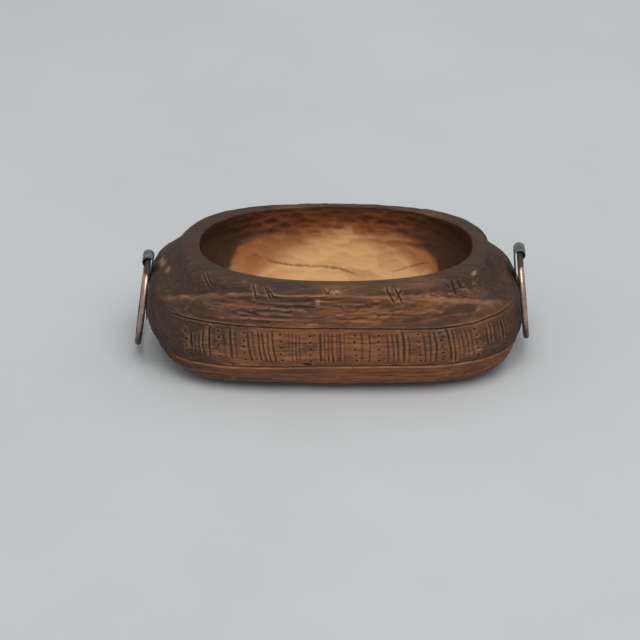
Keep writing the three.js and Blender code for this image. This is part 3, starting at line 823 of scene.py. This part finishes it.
def wall_reach(end, heights):
    """How far out the middle of one end wall lies at some heights, in mm."""
    return plan_at(outside, np.atleast_1d(heights))[0 if end["out"] < 0 else 1]


def strip_line(end):
    """The middle of the sheet from its foot up the wall and round the eye, as (out, up) in mm."""
    heights = np.linspace(belly[0], leaf_leaves_wall, 9)
    reach = wall_reach(end, heights) + seat_gap + sheet_thickness / 2
    below = np.linspace(end["leaf_bottom"], belly[0], 5)[:-1]
    leaf = [(reach[0], height) for height in below] + list(zip(reach, heights))
    eye = Vector(end["eye"])
    radius = (wire_width + wire_slack + sheet_thickness) / 2
    away = Vector(leaf[-1]) - eye
    start = math.atan2(away.y, away.x) - math.acos(radius / away.length)
    turns = start - np.linspace(0, roll_sweep, 31)
    return leaf + [(eye.x + radius * math.cos(a), eye.y + radius * math.sin(a)) for a in turns]


sheet_grey, sheet_dark = (0.20, 0.205, 0.20), (0.095, 0.093, 0.088)
rust_brown, roll_shade = (0.06, 0.045, 0.035), (0.012, 0.010, 0.009)

iron, shader, place = new_material("grey_iron")
blotches = speckle(iron, place, (260.0, 260.0, 260.0), 4.0, 0.6)
scratches = speckle(iron, place, (900.0, 900.0, 160.0), 2.0, 0.5)
colour = blended(iron, stretched(iron, blotches, 0.35, 0.65), sheet_grey, sheet_dark)
colour = blended(iron, stretched(iron, scratches, 0.58, 0.7, 0.0, 0.5), colour, rust_brown)
# Painted shade inside and just under the roll, where the iron also loses its metal shine.
colour = blended(iron, from_mesh(iron, "grime_and_shade"), colour, roll_shade)
feed(iron, shader.inputs["Base Color"], colour)
feed(iron, shader.inputs["Roughness"], stretched(iron, blotches, 0.3, 0.7, 0.42, 0.66))
feed(iron, shader.inputs["Metallic"], stretched(iron, from_mesh(iron, "grime_and_shade"), 0.0, 1.0, 0.55, 0.0))
roughen(iron, shader, sums(iron, "ADD", blotches, scratches), 0.25 * mm, 0.5)

for side, end in ends.items():
    line = strip_line(end)
    bpy.ops.object.select_all(action="DESELECT")
    bpy.ops.mesh.primitive_grid_add(x_subdivisions=1, y_subdivisions=6, size=strip_width * mm)
    strap = bpy.context.object
    bpy.ops.object.mode_set(mode="EDIT")
    bpy.ops.mesh.select_all(action="DESELECT")
    cage = bmesh.from_edit_mesh(strap.data)
    for vertex in cage.verts:
        vertex.select_set(vertex.co.x > 0)
    bpy.ops.mesh.delete(type="VERT")
    bpy.ops.mesh.select_all(action="SELECT")
    here = Vector((-strip_width / 2, 0.0))
    for number, there in enumerate(line):
        step = Vector((end["out"] * there[0] - here.x, 0.0, there[1] - here.y)) * mm
        if number:
            bpy.ops.mesh.extrude_region_move(TRANSFORM_OT_translate={"value": step})
        else:
            bpy.ops.transform.translate(value=step)
        here = Vector((end["out"] * there[0], there[1]))
    cage = bmesh.from_edit_mesh(strap.data)
    for vertex in cage.verts:
        at_foot = vertex.co.z < (end["leaf_bottom"] + 0.1) * mm
        vertex.select_set(at_foot and abs(vertex.co.y) > (strip_width / 2 - 0.1) * mm)
    bmesh.update_edit_mesh(strap.data)
    bpy.ops.mesh.bevel(offset=corner_cut * mm, segments=3, affect="VERTICES")
    bpy.ops.object.mode_set(mode="OBJECT")
    points = read_points(strap.data, "co") / mm
    dented = np.clip(lumps(points, (9, 7, 9), 201 + end["out"]), -0.4, 1) * dent_depth
    on_leaf = soft_step(leaf_leaves_wall + 4, leaf_leaves_wall - 2, points[:, 2])
    points[:, 0] += end["out"] * dented * on_leaf
    points[:, 1] *= 1 - 0.03 * np.abs(lumps(points, (40, 40, 7), 203 + end["out"]))
    strap.data.vertices.foreach_set("co", (points * mm).astype(np.float32).ravel())
    bpy.ops.object.modifier_add(type="SOLIDIFY")
    strap.modifiers["Solidify"].thickness = sheet_thickness * mm
    strap.modifiers["Solidify"].offset = 0.0
    bpy.ops.object.modifier_apply(modifier="Solidify")
    bpy.ops.object.modifier_add(type="BEVEL")
    strap.modifiers["Bevel"].width = sheared_edge * mm
    strap.modifiers["Bevel"].segments = 2
    strap.modifiers["Bevel"].limit_method = "ANGLE"
    strap.modifiers["Bevel"].angle_limit = math.radians(50)
    bpy.ops.object.modifier_apply(modifier="Bevel")
    bpy.ops.object.mode_set(mode="EDIT")
    bpy.ops.mesh.select_all(action="SELECT")
    bpy.ops.mesh.normals_make_consistent(inside=False)
    bpy.ops.object.mode_set(mode="OBJECT")
    bpy.ops.object.shade_smooth_by_angle(angle=math.radians(35))
    points = read_points(strap.data, "co") / mm
    # Painted shade: inside the roll and on the sheet just under it the iron is darkened.
    from_eye = np.hypot(points[:, 0] - end["out"] * end["eye"][0], points[:, 2] - end["eye"][1])
    roll_bore = (wire_width + wire_slack) / 2
    shade_in_roll = soft_step(roll_bore + 0.35, roll_bore + 0.1, from_eye)
    shade_under_roll = soft_step(end["eye"][1] + 1.0, end["eye"][1] - 1.5, points[:, 2])
    write_attribute(strap.data, "grime_and_shade", np.clip(shade_in_roll + 0.9 * shade_under_roll, 0, 1))
    finish_piece(strap, f"{side}_iron_strap", iron, "root", f"{side}_strap")

# Each strip is held by two hand-forged nails with low, uneven heads. The heads stand square to the
# wall and their shanks taper to a point in the wood. They have rusted nearly black.

nail_length, nail_point, tip_radius, shank_radius = 13.0, 3.0, 0.05, 0.9
head_radius, head_rise, dome_steps, nail_sides = 2.5, 1.3, 6, 20
neck, brim_rise, brim_inset, crown_radius = 0.1, 0.2, 0.25, 0.12
nail_heights = {"upper": 51.0, "lower": 40.0}
nail_rows = [
    (seat_gap - nail_length, tip_radius),
    (seat_gap - nail_length + nail_point, shank_radius),
    (seat_gap - neck, shank_radius),
    (seat_gap, shank_radius + neck),
    (seat_gap, head_radius - brim_inset),
    (seat_gap + brim_rise, head_radius),
]
for step in range(1, dome_steps):
    dome = math.radians(90) * step / dome_steps
    rise = seat_gap + brim_rise + (head_rise - brim_rise) * math.sin(dome)
    nail_rows.append((rise, head_radius * math.cos(dome)))
nail_rows.append((seat_gap + head_rise, crown_radius))
forge_black, rust_red = (0.030, 0.026, 0.024), (0.085, 0.045, 0.028)

rust, shader, place = new_material("nail_iron")
scale_spots = speckle(rust, place, (700.0, 700.0, 700.0), 4.0, 0.65)
colour = blended(rust, stretched(rust, scale_spots, 0.38, 0.62), forge_black, rust_red)
feed(rust, shader.inputs["Base Color"], colour)
feed(rust, shader.inputs["Roughness"], stretched(rust, scale_spots, 0.3, 0.7, 0.45, 0.8))
shader.inputs["Metallic"].default_value = 0.4
roughen(rust, shader, scale_spots, 0.2 * mm, 0.6)

bpy.ops.object.select_all(action="DESELECT")
bpy.ops.mesh.primitive_circle_add(vertices=nail_sides, radius=mm)
first_nail = bpy.context.object
bpy.ops.object.mode_set(mode="EDIT")
bpy.ops.mesh.select_all(action="SELECT")
for number, (height, radius) in enumerate(nail_rows):
    if number:
        bpy.ops.mesh.extrude_region_move()
    cage = bmesh.from_edit_mesh(first_nail.data)
    for vertex in cage.verts:
        if vertex.select:
            flat = Vector((vertex.co.x, vertex.co.y)).normalized() * radius
            vertex.co = Vector((flat.x, flat.y, height)) * mm
    bmesh.update_edit_mesh(first_nail.data)
bpy.ops.mesh.select_all(action="SELECT")
bpy.ops.mesh.fill_holes(sides=40)
bpy.ops.mesh.normals_make_consistent(inside=False)
bpy.ops.object.mode_set(mode="OBJECT")
bpy.ops.object.shade_smooth_by_angle(angle=math.radians(40))
nails = []
for side, end in ends.items():
    for place_name, height in nail_heights.items():
        if nails:
            bpy.ops.object.select_all(action="DESELECT")
            first_nail.select_set(True)
            bpy.context.view_layer.objects.active = first_nail
            bpy.ops.object.duplicate()
        nails.append((bpy.context.object, side, end, place_name, height))
for number, (nail, side, end, place_name, height) in enumerate(nails):
    low, high = wall_reach(end, [height - 0.5, height + 0.5])
    tilt = math.atan2(low - high, 1.0)
    outwards = Vector((end["out"] * math.cos(tilt), 0, math.sin(tilt)))
    aside = Vector((0, 1, 0))
    wall = Vector((end["out"] * wall_reach(end, height)[0], 0, height))
    face = wall + outwards * (seat_gap + sheet_thickness)
    turned = Matrix((aside, outwards.cross(aside), outwards)).transposed().to_4x4()
    spun = Matrix.Rotation(math.radians(37 * number), 4, "Z")
    points = read_points(nail.data, "co") / mm
    on_head = soft_step(seat_gap, seat_gap + 0.6, points[:, 2])[:, None]
    dents = [lumps(points + 9 * number, (1.5, 1.5, 1.5), 210 + axis) for axis in range(3)]
    points += on_head * np.stack(dents, axis=1) * (0.22, 0.22, 0.12)
    points[:, 2] = np.minimum(points[:, 2], seat_gap + head_rise)
    nail.data.vertices.foreach_set("co", (points * mm).astype(np.float32).ravel())
    nail.matrix_world = Matrix.Translation(face * mm) @ turned @ spun
    bpy.ops.object.select_all(action="DESELECT")
    nail.select_set(True)
    bpy.context.view_layer.objects.active = nail
    bpy.ops.object.transform_apply(location=True, rotation=True, scale=True)
    node = f"{side}_nail_{place_name}"
    finish_piece(nail, f"{node}_forged", rust, "root", node)

# The two handles are rings of heavy copper wire, bent round and butted inside the eye. Their outer
# faces are bright copper. The inner side that faces the dish and the part inside the eye carry painted
# shade, the wire is darker towards the bottom, and the rest has tarnished to brown and grey.

ring_radius, wire_sides, bends, open_degrees = 28.9, 24, 180, 0.8
bright_copper, brown_copper = (0.52, 0.345, 0.28), (0.33, 0.22, 0.18)
tarnish_and_shade_grey, pit_brown = (0.070, 0.058, 0.049), (0.05, 0.035, 0.03)

copper, shader, place = new_material("copper_wire")
tarnish = speckle(copper, place, (110.0, 110.0, 110.0), 4.0, 0.6)
specks = speckle(copper, place, (1100.0, 1100.0, 1100.0), 2.0, 0.5)
colour = blended(copper, stretched(copper, tarnish, 0.35, 0.65), bright_copper, brown_copper)
# Painted shade with tarnish greys and roughens the copper.
tarnish_and_shade_mix = sums(copper, "ADD", from_mesh(copper, "tarnish_and_shade"), stretched(copper, tarnish, 0.3, 0.7, -0.25, 0.25))
colour = blended(copper, stretched(copper, tarnish_and_shade_mix, 0.15, 0.85), colour, tarnish_and_shade_grey)
colour = blended(copper, stretched(copper, specks, 0.62, 0.72, 0.0, 0.5), colour, pit_brown)
feed(copper, shader.inputs["Base Color"], colour)
feed(copper, shader.inputs["Roughness"], stretched(copper, tarnish_and_shade_mix, 0.0, 1.0, 0.30, 0.62))
shader.inputs["Metallic"].default_value = 0.85
roughen(copper, shader, sums(copper, "ADD", tarnish, specks), 0.2 * mm, 0.35)

for side, end in ends.items():
    bpy.ops.object.select_all(action="DESELECT")
    bpy.ops.mesh.primitive_circle_add(
        vertices=wire_sides,
        radius=wire_width / 2 * mm,
        location=(0, 0, ring_radius * mm),
        rotation=(math.pi / 2, 0, 0),
    )
    ring = bpy.context.object
    bpy.ops.object.transform_apply(location=True, rotation=True, scale=True)
    bpy.ops.object.mode_set(mode="EDIT")
    bpy.ops.mesh.select_all(action="SELECT")
    bpy.ops.mesh.spin(steps=bends, angle=math.radians(360 - open_degrees), center=(0, 0, 0), axis=(1, 0, 0))
    bpy.ops.mesh.select_all(action="SELECT")
    bpy.ops.mesh.fill_holes(sides=40)
    bpy.ops.mesh.normals_make_consistent(inside=False)
    bpy.ops.object.mode_set(mode="OBJECT")
    points = read_points(ring.data, "co") / mm
    normals = read_points(ring.data, "normal")
    flats, _ = scoops(points, (1.0, 1.0, 1.0), 3.6, 220 + end["out"])
    beaten = 0.10 * np.clip(flats, 0, 1.2) - 0.16 + 0.06 * lumps(points, (7, 7, 7), 222 + end["out"])
    points += normals * beaten[:, None]
    ring.data.vertices.foreach_set("co", (points * mm).astype(np.float32).ravel())
    # Painted shade on the inner side facing the dish and inside the eye; the wire is also made darker
    # towards the bottom.
    inwards = -end["out"] * normals[:, 0]
    low_down = soft_step(4, -22, points[:, 2])
    shade_in_eye = soft_step(ring_radius - 4, ring_radius - 2, points[:, 2])
    tarnish_and_shade = 0.75 * soft_step(-0.2, 0.6, inwards) + 0.85 * low_down + shade_in_eye
    write_attribute(ring.data, "tarnish_and_shade", np.clip(tarnish_and_shade, 0, 1))
    arch = ring_radius - math.sqrt(ring_radius**2 - (strip_width / 2) ** 2)
    hang = Matrix.Translation(Vector((end["out"] * end["eye"][0], 0, end["eye"][1])) * mm)
    hang @= Matrix.Rotation(math.radians(-end["out"] * end["turn"]), 4, "Z")
    hang @= Matrix.Rotation(math.radians(-end["out"] * end["lean"]), 4, "Y")
    ring.matrix_world = hang @ Matrix.Translation(Vector((0, 0, arch / 2 - ring_radius)) * mm)
    bpy.ops.object.transform_apply(location=True, rotation=True, scale=True)
    bpy.ops.object.shade_smooth_by_angle(angle=math.radians(50))
    finish_piece(ring, f"{side}_wire_ring", copper, f"{side}_ring", f"{side}_ring")

# The dish stands on a plain pale floor under a large soft lamp; the floor is painted darker at the
# front and lighter towards the back, painted light that evens out the lamp's pool of light. It is seen
# from in front and from thirty degrees above, through a long lens.

floor_size, near_grey, far_grey = 24.0, (0.445, 0.446, 0.444), (0.595, 0.613, 0.624)
lamp_place, lamp_size, lamp_power = Vector((0.25, -1.15, 2.2)), 1.7, 46.0
sky_white, sky_strength = (0.93, 0.97, 1.0, 1.0), 0.56
bpy.ops.object.select_all(action="DESELECT")
bpy.ops.mesh.primitive_grid_add(x_subdivisions=4, y_subdivisions=4, size=floor_size)
floor = bpy.context.object
floor.name = "floor"
cloth, shader, place = new_material("pale_floor")
mottle = stretched(cloth, speckle(cloth, place, (3.0, 3.0, 3.0), 4.0, 0.6), 0.3, 0.7, -0.15, 0.15)
depth = cloth.node_tree.nodes.new("ShaderNodeSeparateXYZ")
feed(cloth, depth.inputs["Vector"], place)
# Painted light: the floor's colour runs from darker at the front to lighter at the back.
tint = sums(cloth, "ADD", stretched(cloth, depth.outputs["Y"], -0.6, 1.4), mottle)
feed(cloth, shader.inputs["Base Color"], blended(cloth, tint, near_grey, far_grey))
shader.inputs["Roughness"].default_value = 0.9
floor.data.materials.append(cloth)

bpy.ops.object.light_add(type="AREA", location=lamp_place)
lamp = bpy.context.object
lamp.data.shape = "SQUARE"
lamp.data.size = lamp_size
lamp.data.energy = lamp_power
lamp.rotation_euler = lamp_place.to_track_quat("Z", "Y").to_euler()
world = bpy.data.worlds.new("studio")
world.use_nodes = True
sky = world.node_tree.nodes["Background"]
sky.inputs["Color"].default_value = sky_white
sky.inputs["Strength"].default_value = sky_strength
bpy.context.scene.world = world
bpy.context.scene.view_settings.view_transform = "Standard"

camera_place = Vector((1.9, -1447.5, 859.3)) * mm
camera_looks = Vector((-0.0063, 0.8656, -0.50068))
camera_roll = math.radians(0.14)
camera_lens, sensor_width = 146.25, 36.0
bpy.ops.object.camera_add(location=camera_place)
camera = bpy.context.object
camera.data.lens = camera_lens
camera.data.sensor_width = sensor_width
camera.data.clip_end = 100.0
roll = Matrix.Rotation(camera_roll, 3, "Z")
camera.rotation_euler = (camera_looks.to_track_quat("-Z", "Y").to_matrix() @ roll).to_euler()
bpy.context.scene.camera = camera
